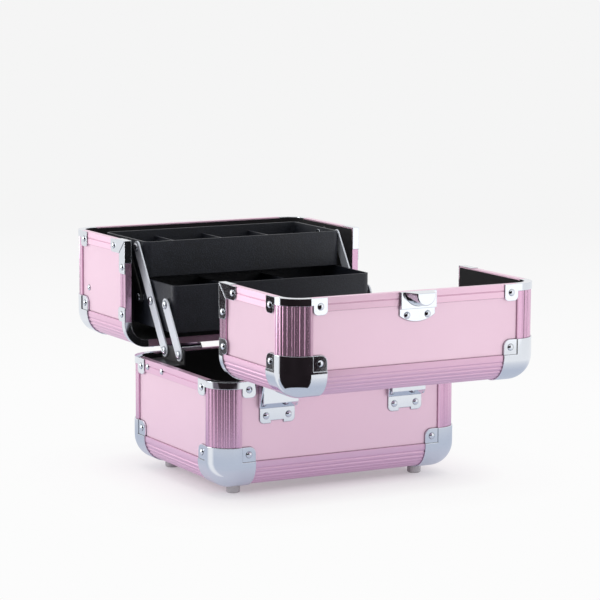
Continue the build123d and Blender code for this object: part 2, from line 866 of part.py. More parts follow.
# Latch lever: a ring that drops over the catch, flipped back so that it hangs below its pin
catch_near = lever_axis_inset + half_gap
ring_hole_half = catch_half + lever_clearance
ring_hole_near = catch_near - lever_clearance
ring_hole_far = catch_near + catch_reach + lever_clearance
ring_half = ring_hole_half + lever_rim
ring_near = ring_hole_near - lever_rim
ring_far = ring_hole_far + lever_rim
with BuildPart() as latch_lever:
    with BuildSketch(place(back_frame, lever_axis, RIGHT, UP)):
        with BuildLine():
            ThreePointArc((-ring_half, -ring_near), (0, -ring_far), (ring_half, -ring_near))
            Line((ring_half, -ring_near), (-ring_half, -ring_near))
        make_face()
        Rectangle(lever_width, ring_hole_near, align=(Align.CENTER, Align.MAX))
        with BuildLine():
            ThreePointArc(
                (-ring_hole_half, -ring_hole_near),
                (0, -ring_hole_far),
                (ring_hole_half, -ring_hole_near),
            )
            Line((ring_hole_half, -ring_hole_near), (-ring_hole_half, -ring_hole_near))
        make_face(mode=Mode.SUBTRACT)
    extrude(amount=lever_thickness / 2, both=True)
    with BuildSketch(place(back_frame, lever_axis, AWAY, UP)):
        Circle(lever_barrel_radius)
    extrude(amount=lever_width / 2, both=True)
    with BuildSketch(place(back_frame, lever_axis, AWAY, UP)):
        Circle(latch_pin_radius + pin_clearance)
    extrude(amount=lever_width / 2, both=True, mode=Mode.SUBTRACT)
save(latch_lever, "latch_lever")

# Handle on the back lid, folded down along its top panel
handle_axis_rise = handle_grip_radius + handle_grip_gap - skin
handle_axis_y = lid_height + handle_axis_rise
handle_axis_z = back_depth - handle_axis_inset
handle_grip_z = handle_axis_z - handle_length
lug_in = handle_arm_thickness / 2 + handle_lug_gap
lug_out = lug_in + handle_lug
with BuildPart() as handle_brackets:
    for side in (-1, 1):
        x = side * handle_span / 2
        with BuildSketch(place(back_frame, (x, lid_height - skin, handle_axis_z), RIGHT, UP)):
            RectangleRounded(2 * lug_out, handle_foot_length, handle_lug)
        extrude(amount=-handle_lug)
        for step in (-1, 1):
            lug_x = x + step * (lug_in + handle_lug / 2)
            with BuildSketch(place(back_frame, (lug_x, 0, handle_axis_z), AWAY, UP)):
                with Locations((handle_axis_y, 0)):
                    Circle(handle_lug_radius)
                with Locations((lid_height - skin, 0)):
                    Rectangle(
                        handle_axis_rise + skin, 2 * handle_lug_radius, align=(Align.MIN, Align.CENTER)
                    )
            extrude(amount=handle_lug / 2, both=True)
        with BuildSketch(place(back_frame, (x, handle_axis_y, handle_axis_z), AWAY, UP)):
            Circle(handle_pin_radius)
        extrude(amount=lug_out, both=True)
save(handle_brackets, "handle_brackets")

with BuildPart() as handle_arms:
    for side in (-1, 1):
        x = side * handle_span / 2
        with BuildSketch(place(back_frame, (x, handle_axis_y, handle_axis_z - handle_length / 2), UP, AWAY)):
            SlotCenterToCenter(handle_length, handle_arm_width)
            with Locations((handle_length / 2, 0)):
                Circle(handle_pin_radius + pin_clearance, mode=Mode.SUBTRACT)
        extrude(amount=handle_arm_thickness / 2, both=True)
save(handle_arms, "handle_arms")

with BuildPart() as handle_grip:
    with BuildSketch(place(back_frame, (0, handle_axis_y, handle_grip_z), AWAY, UP)):
        Circle(handle_grip_radius)
    extrude(amount=(handle_span - handle_arm_thickness) / 2, both=True)
    fillet(handle_grip.edges().filter_by(GeomType.CIRCLE), handle_grip_round)
save(handle_grip, "handle_grip")

# Tray linkage: pivots on the base, and on the trays as they stand with the case open
lean = Vector(0, sin(radians(open_lean)), cos(radians(open_lean)))
tray_width = 2 * (half_width - wall - tray_side_room)
upper_pivot_rise = lower_tray_height - lower_pivot_rise + tray_gap + upper_tray_height - upper_pivot_drop
upper_arm_length = upper_pivot_rise / lean.Z
base_pivot = Vector(0, base_pivot_y, base_rim_z + arm_width / 2 + arm_floor_gap)
link_pivot = base_pivot - AWAY * link_spacing
lower_pivot = base_pivot + lean * lower_arm_length
lower_link_pivot = link_pivot + lean * lower_arm_length
upper_pivot = lower_pivot + lean * upper_arm_length
upper_link_foot = lower_pivot + AWAY * upper_link_spacing
upper_link_pivot = upper_link_foot + lean * upper_arm_length
arm_inner = tray_width / 2 + tray_spacer + arm_side_gap / 2
arm_outer = arm_inner + arm_thickness
head_inner = arm_outer + arm_side_gap / 2
arm_bore = pivot_radius + pin_clearance
sides = (-1, 1)


def arms(label, low, high, holes):
    """A pair of flat arms with round ends, one at each end of the trays, with a bore at each pivot."""
    span = high - low
    middle = (low + high) / 2
    along = span.normalized()
    across = along.cross(RIGHT)
    with BuildPart() as pair:
        for side in sides:
            at = Vector(side * (arm_inner + arm_outer) / 2, middle.Y, middle.Z)
            with BuildSketch(place(base_frame, at, along, across)):
                SlotCenterToCenter(span.length, arm_width)
                with Locations(*[((hole - middle).dot(along), 0) for hole in holes]):
                    Circle(arm_bore, mode=Mode.SUBTRACT)
            extrude(amount=arm_thickness / 2, both=True)
    save(pair, label)


arms("long_arms", base_pivot, upper_pivot, (base_pivot, lower_pivot, upper_pivot))
arms("lower_links", link_pivot, lower_link_pivot, (link_pivot, lower_link_pivot))
arms("upper_links", upper_link_foot, upper_link_pivot, (upper_link_foot, upper_link_pivot))

# Bent brackets on the inside of the base rim that carry the lowest pivots
rim_face = half_width - wall
upright_inner = arm_inner - arm_side_gap / 2 - bracket_sheet
bracket_front = link_pivot.Y - bracket_margin
bracket_length = link_spacing + 2 * bracket_margin
web_top = base_rim_z
upright_top = base_pivot.Z + arm_width / 2
with BuildPart() as tray_brackets:
    for side in sides:
        outward = RIGHT * side
        start = (0, bracket_front + bracket_length / 2, 0)
        with BuildSketch(place(base_frame, start, outward, UP)):
            with BuildLine():
                Polyline(
                    (upright_inner, upright_top),
                    (upright_inner, web_top - bracket_sheet),
                    (rim_face - bracket_sheet, web_top - bracket_sheet),
                    (rim_face - bracket_sheet, web_top - bracket_drop),
                    (rim_face, web_top - bracket_drop),
                    (rim_face, web_top),
                    (upright_inner + bracket_sheet, web_top),
                    (upright_inner + bracket_sheet, upright_top),
                    close=True,
                )
            make_face()
        extrude(amount=bracket_length / 2, both=True)
        for pivot in (base_pivot, link_pivot):
            at = Vector(side * upright_inner, pivot.Y, pivot.Z)
            with BuildSketch(place(base_frame, at, AWAY * side, UP)):
                Circle(pivot_radius)
            extrude(amount=head_inner + pivot_head - upright_inner)
            at = Vector(side * head_inner, pivot.Y, pivot.Z)
            with BuildSketch(place(base_frame, at, AWAY * side, UP)):
                Circle(pivot_head_radius)
            extrude(amount=pivot_head)
save(tray_brackets, "tray_brackets")


def tray(label, front, bottom, height, dividers, pivots):
    """Moulded tray with cross dividers and a bore in each end wall for every pivot."""
    inner_width = tray_width - 2 * tray_wall
    middle = front + tray_depth / 2
    with BuildPart() as body:
        with BuildSketch(Plane.XY.offset(bottom)):
            with Locations((0, middle)):
                RectangleRounded(tray_width, tray_depth, tray_corner)
        extrude(amount=height)
        with BuildSketch(Plane.XY.offset(bottom + tray_wall)):
            with Locations((0, middle)):
                RectangleRounded(inner_width, tray_depth - 2 * tray_wall, tray_corner - tray_wall)
        extrude(amount=height, mode=Mode.SUBTRACT)
        with BuildSketch(Plane.XY.offset(bottom + tray_wall / 2)):
            with Locations((0, middle)):
                with GridLocations(inner_width / (dividers + 1), 0, dividers, 1):
                    Rectangle(divider_thickness, tray_depth - tray_wall)
        extrude(amount=height - divider_drop - tray_wall / 2)
        for side in sides:
            for pivot in pivots:
                at = Vector(side * inner_width / 2, pivot.Y, pivot.Z)
                with BuildSketch(place(base_frame, at, AWAY * side, UP)):
                    Circle(pivot_radius)
                extrude(amount=tray_wall, mode=Mode.SUBTRACT)
    save(body, label)


def tray_pivots(label, pivots):
    """Riveted pins through the tray ends: inner head, spacer, journal for the arm and outer head."""
    inner_face = tray_width / 2 - tray_wall
    rings = (
        (inner_face - pivot_head, inner_face, pivot_head_radius),
        (inner_face, head_inner, pivot_radius),
        (tray_width / 2, tray_width / 2 + tray_spacer, pivot_head_radius),
        (head_inner, head_inner + pivot_head, pivot_head_radius),
    )
    with BuildPart() as pins:
        for side in sides:
            for pivot in pivots:
                for start, end, radius in rings:
                    at = Vector(side * start, pivot.Y, pivot.Z)
                    with BuildSketch(place(base_frame, at, AWAY * side, UP)):
                        Circle(radius)
                    extrude(amount=end - start)
    save(pins, label)


lower_pivots = (lower_pivot, lower_link_pivot, upper_link_foot)
upper_pivots = (upper_pivot, upper_link_pivot)
lower_tray_front = lower_link_pivot.Y - lower_tray_margin
upper_tray_front = upper_pivot.Y - upper_tray_margin
lower_tray_bottom = lower_pivot.Z - lower_pivot_rise
upper_tray_bottom = lower_tray_bottom + lower_tray_height + tray_gap
tray("lower_tray", lower_tray_front, lower_tray_bottom, lower_tray_height, lower_dividers, lower_pivots)
tray("upper_tray", upper_tray_front, upper_tray_bottom, upper_tray_height, upper_dividers, upper_pivots)
tray_pivots("lower_tray_pivots", lower_pivots)
tray_pivots("upper_tray_pivots", upper_pivots)
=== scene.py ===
"""Looks of the open makeup case: finishes for its pieces, its rivets, studio light, floor and camera."""
import json
import math

import bmesh
import bpy
from mathutils import Matrix, Vector


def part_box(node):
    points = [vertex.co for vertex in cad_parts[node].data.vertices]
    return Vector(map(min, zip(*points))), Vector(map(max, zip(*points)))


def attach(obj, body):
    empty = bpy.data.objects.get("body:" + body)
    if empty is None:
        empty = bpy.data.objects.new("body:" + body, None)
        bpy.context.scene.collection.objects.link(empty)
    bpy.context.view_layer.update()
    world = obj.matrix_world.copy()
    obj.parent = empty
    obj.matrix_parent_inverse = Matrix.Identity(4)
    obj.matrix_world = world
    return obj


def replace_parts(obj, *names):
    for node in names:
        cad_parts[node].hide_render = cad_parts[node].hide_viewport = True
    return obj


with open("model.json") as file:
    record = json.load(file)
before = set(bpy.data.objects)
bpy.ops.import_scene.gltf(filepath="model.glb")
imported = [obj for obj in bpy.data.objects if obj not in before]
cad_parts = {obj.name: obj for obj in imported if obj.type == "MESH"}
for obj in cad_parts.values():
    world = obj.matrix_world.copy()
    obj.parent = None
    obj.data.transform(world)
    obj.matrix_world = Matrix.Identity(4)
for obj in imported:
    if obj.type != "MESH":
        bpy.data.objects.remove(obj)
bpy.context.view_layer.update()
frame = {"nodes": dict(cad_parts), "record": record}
nodes = frame["nodes"]

MM = 0.001

# Camera, as fitted to the photograph: angles in degrees, lengths in millimetres, focal length in pixels
CAMERA_AZIMUTH = -28.491
CAMERA_ELEVATION = 8.129
CAMERA_ROLL = 0.227
CAMERA_DISTANCE = 2298.339
CAMERA_FOCAL = 2564.947
AIM_RIGHT = 6.83
AIM_UP = 151.519
PHOTO_SIDE = 600

# The camera's sensor in millimetres, and the nearest and furthest that it sees in metres
SENSOR = 36.0
SIGHT_NEAR = 0.1
SIGHT_FAR = 100.0


def place_camera():
    """Camera at the photograph's place, looking at the photograph's centre."""
    azimuth = math.radians(CAMERA_AZIMUTH)
    elevation = math.radians(CAMERA_ELEVATION)
    back = Vector((
        math.sin(azimuth) * math.cos(elevation),
        -math.cos(azimuth) * math.cos(elevation),
        math.sin(elevation),
    ))
    level = Vector((math.cos(azimuth), math.sin(azimuth), 0))
    upright = back.cross(level)
    roll = math.radians(CAMERA_ROLL)
    right = math.cos(roll) * level + math.sin(roll) * upright
    up = math.cos(roll) * upright - math.sin(roll) * level
    eye = (AIM_RIGHT * right + AIM_UP * up + CAMERA_DISTANCE * back) * MM
    data = bpy.data.cameras.new("photo_camera")
    data.sensor_width = SENSOR
    data.lens = SENSOR * CAMERA_FOCAL / PHOTO_SIDE
    data.clip_start = SIGHT_NEAR
    data.clip_end = SIGHT_FAR
    camera = bpy.data.objects.new("photo_camera", data)
    bpy.context.scene.collection.objects.link(camera)
    camera.matrix_world = Matrix.Translation(eye) @ Matrix((right, up, back)).transposed().to_4x4()
    bpy.context.scene.camera = camera


place_camera()

# Places of the case that the finishes and the studio follow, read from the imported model
PIN_SLACK = 0.15 * MM
rim_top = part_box("base_rims")[1].z
straight_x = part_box("base_front_panel")[1].x
lid_turn_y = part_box("back_left_panel")[1].y
pin_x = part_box("long_arms")[1].x + PIN_SLACK
lid_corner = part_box("front_edges")[0]
base_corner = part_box("base_posts")[0]
ball_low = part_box("front_ball_corners")[0]
ball_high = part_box("front_ball_corners")[1]

# Joins and edges in the finishes: how open a place is where painted shade in its colour begins and ends,
# and how finely joins and edges are felt out
JOIN_SHADE_STOPS = [(0.45, 0.0), (0.92, 1.0)]
JOIN_SAMPLES = 8
EDGE_SAMPLES = 6


class Term:
    """A value in a node tree; arithmetic on it adds Math nodes."""

    def __init__(self, tree, socket):
        self.tree = tree
        self.socket = socket

    def math(self, operation, *values):
        """A Math node over this value and others."""
        return self.tree.node("ShaderNodeMath", {"operation": operation}, dict(enumerate((self, *values))))

    def pick(self, output):
        """Another output of the node that this value comes from."""
        return Term(self.tree, self.socket.node.outputs[output])

    def __add__(self, other):
        return self.math("ADD", other)

    __radd__ = __add__

    def __sub__(self, other):
        return self.math("SUBTRACT", other)

    def __rsub__(self, other):
        return (self * -1.0) + other

    def __mul__(self, other):
        return self.math("MULTIPLY", other)

    __rmul__ = __mul__

    def __abs__(self):
        return self.math("ABSOLUTE")

    def __gt__(self, other):
        return self.math("GREATER_THAN", other)

    def __lt__(self, other):
        return self.math("LESS_THAN", other)


class Tree:
    """A node tree of a material, of the surroundings or of a shape."""

    def __init__(self, group):
        self.group = group

    def node(self, kind, settings=None, inputs=None, output=0):
        """Adds a node; settings are its own properties or a ramp's stops, inputs its values or links."""
        made = self.group.nodes.new(kind)
        for name, value in (settings or {}).items():
            if name == "stops":
                self.fill_ramp(made.color_ramp, value)
            else:
                setattr(made, name, value)
        for name, value in (inputs or {}).items():
            self.feed(made.inputs[name], value)
        return Term(self, made.outputs[output]) if len(made.outputs) else None

    def fill_ramp(self, ramp, stops):
        """Replaces a ramp's stops with (position, grey value) pairs."""
        while len(ramp.elements) < len(stops):
            ramp.elements.new(1.0)
        for element, (position, grey) in zip(ramp.elements, stops):
            element.position = position
            element.color = (grey, grey, grey, 1.0)

    def feed(self, socket, value):
        """Links a Term to a socket, or sets the socket's own value."""
        if isinstance(value, Term):
            self.group.links.new(value.socket, socket)
        else:
            socket.default_value = value

    def axes(self, vector):
        """The x, y and z of a vector."""
        split = self.node("ShaderNodeSeparateXYZ", None, {0: vector})
        return [split.pick(name) for name in "XYZ"]

    def vector(self, x, y, z):
        """A vector made of three values."""
        return self.node("ShaderNodeCombineXYZ", None, {"X": x, "Y": y, "Z": z})

    def vector_math(self, operation, *vectors, output=0):
        """A Vector Math node over one or two vectors."""
        return self.node("ShaderNodeVectorMath", {"operation": operation}, dict(enumerate(vectors)), output)

    def ramp(self, value, stops):
        """A grey ramp over a value."""
        return self.node("ShaderNodeValToRGB", {"stops": stops}, {"Fac": value})

    def mix(self, factor, first, second):
        """A colour between two colours, which are a Mix node's sockets 6 and 7 and its output 2."""
        return self.node("ShaderNodeMix", {"data_type": "RGBA"}, {0: factor, 6: first, 7: second}, 2)

    def seen(self):
        """1 for what the camera sees straight, in polished metal or through clear things."""
        rays = self.node("ShaderNodeLightPath")
        return rays.pick("Is Camera Ray") + rays.pick("Is Glossy Ray") + rays.pick("Is Transmission Ray")


class Finish(Tree):
    """A procedural material: a Principled shader and the nodes that feed it."""

    def __init__(self, name):
        self.material = bpy.data.materials.new(name)
        self.material.use_nodes = True
        super().__init__(self.material.node_tree)
        self.shader = self.group.nodes["Principled BSDF"]
        self.surface = self.group.nodes["Material Output"].inputs["Surface"]

    def set(self, **inputs):
        """Sets or links the Principled shader's inputs, named with underscores for spaces."""
        for name, value in inputs.items():
            self.feed(self.shader.inputs[name.replace("_", " ")], value)

    def place(self):
        """Object coordinates, in metres in the shared frame."""
        return self.node("ShaderNodeTexCoord", output="Object")

    def noise(self, where, scale=1.0, detail=3.0, roughness=0.5, stretch=None):
        """Noise from 0 to 1; stretch squeezes the pattern along each axis."""
        if stretch:
            where = self.node("ShaderNodeMapping", None, {"Vector": where, "Scale": stretch})
        inputs = {"Vector": where, "Scale": scale, "Detail": detail, "Roughness": roughness}
        return self.node("ShaderNodeTexNoise", None, inputs, "Fac")

    def bump(self, height, depth, strength, under=None):
        """A normal disturbed by a height map of some depth, over another normal if one is given."""
        inputs = {"Height": height, "Distance": depth, "Strength": strength}
        if under:
            inputs["Normal"] = under
        return self.node("ShaderNodeBump", None, inputs)

    def painted_join_shade(self, reach, unshaded, painted_shade):
        """Painted shade: the unshaded colour goes over to the shade colour where another face stands within
        reach.
        """
        settings = {"samples": JOIN_SAMPLES}
        open_air = self.node("ShaderNodeAmbientOcclusion", settings, {"Distance": reach}, "AO")
        return self.mix(self.ramp(open_air, JOIN_SHADE_STOPS), painted_shade, unshaded)

    def soft_edges(self, radius):
        """A normal that rounds sharp edges off by a radius."""
        return self.node("ShaderNodeBevel", {"samples": EDGE_SAMPLES}, {"Radius": radius})


def colour(red, green, blue):
    """Linear colour from sRGB numbers of 0 to 255."""
    def linear(value):
        share = value / 255
        return share / 12.92 if share <= 0.04045 else ((share + 0.055) / 1.055) ** 2.4
    return (linear(red), linear(green), linear(blue), 1.0)


def panel_finish():
    """Satin pink laminate over the boards: a fine pebble, faint clouds and a few handling marks."""
    finish = Finish("pink_panel")
    where = finish.place()
    cloud = finish.noise(where, scale=14.0, detail=4.0)
    pebble = finish.noise(where, scale=2600.0, detail=2.0)
    marks = finish.noise(where, scale=60.0, detail=6.0, roughness=0.7)
    pink = finish.mix(cloud, colour(228, 197, 214), colour(232, 204, 219))
    finish.set(
        # Base colour darkens where another face stands close: painted shade
        Base_Color=finish.painted_join_shade(reach=1.2 * MM, unshaded=pink, painted_shade=colour(112, 78, 96)),
        Metallic=0.25,
        Roughness=finish.ramp(marks, [(0.35, 0.36), (0.7, 0.44)]),
        Specular_IOR_Level=0.6,
        Normal=finish.bump(pebble, depth=0.02 * MM, strength=0.4, under=finish.soft_edges(0.4 * MM)),
    )
    return finish.material


# Drawing lines of the profiles: how fine they are across and along a run
LINES_ACROSS = 7000.0
LINES_ALONG = 10.0

# Share of painted highlight, a paler pink, where a profile lies level, in the edges and in the thin rims
# along the seam
EDGE_PAINTED_HIGHLIGHT = 0.4
RIM_PAINTED_HIGHLIGHT = 0.9
LEVEL_ROUGHER = 0.22


def profile_finish(name, level_ends, upright_ends, pale=EDGE_PAINTED_HIGHLIGHT):
    """Anodised profile with drawing lines along its run, duller where it lies level and paler there by
    painted highlight; painted shade in its grooves.

    The long sides run level; level_ends and upright_ends say, from y, how the profile runs at the ends.
    """
    finish = Finish(name)
    where = finish.place()
    x, y, z = finish.axes(where)
    along_x = abs(x) < straight_x
    ends = 1.0 - along_x
    along_y = ends * level_ends(y)
    along_z = ends * upright_ends(y)
    finer = LINES_ACROSS - LINES_ALONG
    drawn = finish.vector(
        x * (LINES_ACROSS - along_x * finer),
        y * (LINES_ACROSS - along_y * finer),
        z * (LINES_ACROSS - along_z * finer),
    )
    lines = finish.noise(drawn, detail=2.0)
    cloud = finish.noise(where, scale=22.0, detail=4.0)
    level = along_x + along_y
    pink = finish.mix(cloud, colour(216, 171, 202), colour(224, 184, 211))
    # Level runs get a paler pink and a lighter shade colour: painted highlight. The darker groove colour is
    # painted shade.
    highlighted_pink = finish.mix(level * pale, pink, colour(252, 214, 234))
    groove_shade = finish.mix(level, colour(164, 121, 148), colour(206, 158, 184))
    finish.set(
        Base_Color=finish.painted_join_shade(reach=0.9 * MM, unshaded=highlighted_pink, painted_shade=groove_shade),
        Metallic=0.85,
        Roughness=finish.ramp(lines, [(0.3, 0.17), (0.75, 0.25)]) + level * LEVEL_ROUGHER,
        Coat_Weight=0.3,
        Coat_Roughness=0.12,
        Normal=finish.soft_edges(0.25 * MM),
    )
    return finish.material


def chrome_finish():
    """Bright chromed steel with faint polishing lines, smears and hairline scratches."""
    finish = Finish("chrome")
    where = finish.place()
    smear = finish.noise(where, scale=45.0, detail=5.0, roughness=0.65)
    hairs = finish.noise(where, detail=2.0, stretch=(900.0, 900.0, 60.0))
    plating = finish.mix(smear, colour(222, 227, 235), colour(232, 236, 242))
    finish.set(
        # Base colour darkens where another face stands close: painted shade
        Base_Color=finish.painted_join_shade(reach=0.9 * MM, unshaded=plating, painted_shade=colour(58, 58, 64)),
        Metallic=1.0,
        Roughness=finish.ramp(smear, [(0.35, 0.05), (0.75, 0.11)]),
        Normal=finish.bump(hairs, depth=0.002 * MM, strength=0.25, under=finish.soft_edges(0.6 * MM)),
    )
    return finish.material


def lining_finish():
    """Short black felt."""
    finish = Finish("lining")
    where = finish.place()
    fibre = finish.noise(where, scale=1900.0, detail=4.0, roughness=0.7)
    nap = finish.noise(where, scale=120.0, detail=4.0)
    finish.set(
        Base_Color=finish.mix(nap * 0.5 + fibre * 0.5, colour(11, 10, 13), colour(27, 26, 30)),
        Roughness=0.92,
        Sheen_Weight=0.08,
        Sheen_Roughness=0.5,
        Normal=finish.bump(fibre, depth=0.25 * MM, strength=0.7),
    )
    return finish.material


def tray_finish():
    """Black moulded plastic with a sandy grain, a little worn."""
    finish = Finish("tray_plastic")
    where = finish.place()
    cell = finish.node(
        "ShaderNodeTexVoronoi",
        {"feature": "SMOOTH_F1"},
        {"Vector": where, "Scale": 950.0, "Smoothness": 0.5, "Randomness": 1.0},
        "Distance",
    )
    sand = finish.noise(where, scale=1300.0, detail=3.0, roughness=0.6)
    wear = finish.noise(where, scale=35.0, detail=5.0, roughness=0.6)
    grain = cell * 0.6 + sand * 0.4
    dust = finish.ramp(grain * 0.7 + wear * 0.3, [(0.3, 0.0), (0.62, 1.0)])
    finish.set(
        Base_Color=finish.mix(dust, colour(15, 17, 22), colour(37, 41, 51)),
        Roughness=finish.ramp(wear, [(0.3, 0.44), (0.75, 0.56)]),
        Specular_IOR_Level=0.6,
        Normal=finish.bump(grain, depth=0.3 * MM, strength=0.6, under=finish.soft_edges(0.6 * MM)),
    )
    return finish.material


ARM_LEAN = math.radians(33.7)


def arm_finish():
    """Zinc-plated steel, brushed along the flat arms, which lean back."""
    finish = Finish("arm_steel")
    turn = {"Vector": finish.place(), "Rotation": (ARM_LEAN, 0.0, 0.0)}
    where = finish.node("ShaderNodeMapping", None, turn)
    lines = finish.noise(where, detail=3.0, roughness=0.6, stretch=(3200.0, 3200.0, 30.0))
    smear = finish.noise(where, scale=70.0, detail=4.0)
    zinc = finish.mix(smear, colour(208, 214, 223), colour(224, 229, 235))
    finish.set(
        # Base colour darkens where another face stands close: painted shade
        Base_Color=finish.painted_join_shade(reach=1.1 * MM, unshaded=zinc, painted_shade=colour(52, 53, 58)),
        Metallic=0.4,
        Roughness=finish.ramp(lines, [(0.3, 0.32), (0.8, 0.46)]),
        Normal=finish.bump(lines, depth=0.01 * MM, strength=0.4, under=finish.soft_edges(0.4 * MM)),
    )
    return finish.material


BARE_SMOOTHER = 0.65


def painted_finish():
    """Black satin paint on bent steel; the pivot pins that pass through the arms are bare bright steel."""
    finish = Finish("black_steel")
    where = finish.place()
    x, _, z = finish.axes(where)
    bare = (abs(x) > pin_x) * (z > rim_top)
    peel = finish.noise(where, scale=900.0, detail=3.0)
    dust = finish.noise(where, scale=90.0, detail=5.0, roughness=0.6)
    paint = finish.mix(dust, colour(20, 20, 22), colour(34, 34, 37))
    finish.set(
        Base_Color=finish.mix(bare, paint, colour(214, 219, 227)),
        Metallic=bare,
        Roughness=finish.ramp(dust, [(0.3, 0.36), (0.75, 0.5)]) * (1.0 - bare * BARE_SMOOTHER),
        Normal=finish.bump(peel, depth=0.02 * MM, strength=0.4, under=finish.soft_edges(0.4 * MM)),
    )
    return finish.material


def foot_finish():
    """Grey moulded feet, porous and scuffed."""
    finish = Finish("foot_grey")
    where = finish.place()
    pores = finish.noise(where, scale=1500.0, detail=4.0)
    scuff = finish.noise(where, scale=260.0, detail=4.0)
    finish.set(
        Base_Color=finish.mix(scuff, colour(160, 158, 161), colour(180, 177, 178)),
        Roughness=finish.ramp(pores, [(0.3, 0.6), (0.7, 0.75)]),
        Normal=finish.bump(pores, depth=0.05 * MM, strength=0.5),
    )
    return finish.material


def grip_finish():
    """Black handle grip with a fine moulded grain."""
    finish = Finish("grip_plastic")
    where = finish.place()
    grain = finish.noise(where, scale=2100.0, detail=3.0)
    wear = finish.noise(where, scale=80.0, detail=5.0, roughness=0.6)
    finish.set(
        Base_Color=finish.mix(wear, colour(28, 28, 30), colour(40, 40, 43)),
        Roughness=finish.ramp(wear, [(0.3, 0.4), (0.7, 0.55)]),
        Normal=finish.bump(grain, depth=0.05 * MM, strength=0.5),
    )
    return finish.material


def always(y):
    """1 at every y."""
    return 1.0


def never(y):
    """0 at every y."""
    return 0.0


def at_lid_top(y):
    """1 where an open lid's profile has turned its top corner."""
    return abs(y) > lid_turn_y


def below_lid_top(y):
    """1 where an open lid's profile has not yet turned its top corner."""
    return abs(y) < lid_turn_y


chrome = chrome_finish()
finishes = {
    "pink_panel": panel_finish(),
    "chrome": chrome,
    "lining": lining_finish(),
    "tray_plastic": tray_finish(),
    "arm_steel": arm_finish(),
    "black_steel": painted_finish(),
    "foot_grey": foot_finish(),
    "grip_plastic": grip_finish(),
}
# Copies of one anodised finish that differ in which runs count as level and so get the painted highlight
profile_runs = {
    "level": profile_finish("profile_level", always, never),
    "rim": profile_finish("profile_rim", always, never, RIM_PAINTED_HIGHLIGHT),
    "upright": profile_finish("profile_upright", never, always),
    "lid": profile_finish("profile_lid", below_lid_top, at_lid_top),
}
profile_kinds = {
    "base_posts": "upright",
    "front_seam_rim": "rim",
    "back_seam_rim": "rim",
    "front_base_rim": "upright",
    "back_base_rim": "upright",
    "front_edges": "lid",
    "back_edges": "lid",
}

for row in frame["record"]["subparts"]:
    name = row["node"]
    slot = row["material_slot"]
    if slot == "pink_profile":
        material = profile_runs[profile_kinds.get(name, "level")]
    else:
        material = finishes[slot]
    mesh = nodes[name].data
    mesh.materials.clear()
    mesh.materials.append(material)


# Rivets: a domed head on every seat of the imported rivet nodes, and a shallow one on every linkage pivot
RIVET_RADIUS = 2.8 * MM
RIVET_HEIGHT = 1.6 * MM
PIVOT_RADIUS = 3.5 * MM
PIVOT_HEIGHT = 0.8 * MM
HEAD_SEGMENTS = 28
HEAD_RINGS = 14

# How near points are merged, how far pivots stand above the rim, and which points make one flat pivot face
MERGE = 0.001 * MM
RIM_CLEAR = 1.0 * MM
FACE_SLACK = 0.01 * MM
FACE_WIDTH = 2.5 * PIVOT_RADIUS


def corners(points):
    """Lowest and highest corner of the box round some points."""
    low = Vector(min(point[i] for point in points) for i in range(3))
    high = Vector(max(point[i] for point in points) for i in range(3))
    return low, high


def rivet_seats(node, body_nodes):
    """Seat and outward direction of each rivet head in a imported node."""
    low, high = corners([corner for name in body_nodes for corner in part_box(name)])
    middle = (low + high) / 2
    work = bmesh.new()
    work.from_mesh(nodes[node].data)
    bmesh.ops.remove_doubles(work, verts=work.verts, dist=MERGE)
    seats = []
    done = set()
    for start in work.verts:
        if start in done:
            continue
        done.add(start)
        head = [start]
        for vertex in head:
            for edge in vertex.link_edges:
                other = edge.other_vert(vertex)
                if other not in done:
                    done.add(other)
                    head.append(other)
        low, high = corners([vertex.co for vertex in head])
        size = high - low
        axis = min(range(3), key=lambda i: size[i])
        seat = (low + high) / 2
        outward = Vector((0, 0, 0))
        outward[axis] = math.copysign(1.0, seat[axis] - middle[axis])
        seats.append((seat - outward * size[axis] / 2, outward))
    work.free()
    return seats


def pivot_seats(node):
    """Seat and outward direction of each pivot head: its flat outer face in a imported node."""
    points = [vertex.co for vertex in nodes[node].data.vertices if vertex.co.z > rim_top + RIM_CLEAR]
    outermost = max(abs(point.x) for point in points)
    faces = []
    for point in points:
        if abs(point.x) > outermost - FACE_SLACK:
            near = [face for face in faces if (face[0] - point).length < FACE_WIDTH]
            if near:
                near[0].append(point)
            else:
                faces.append([point])
    seats = []
    for face in faces:
        low, high = corners(face)
        seats.append(((low + high) / 2, Vector((math.copysign(1.0, low.x), 0, 0))))
    return seats


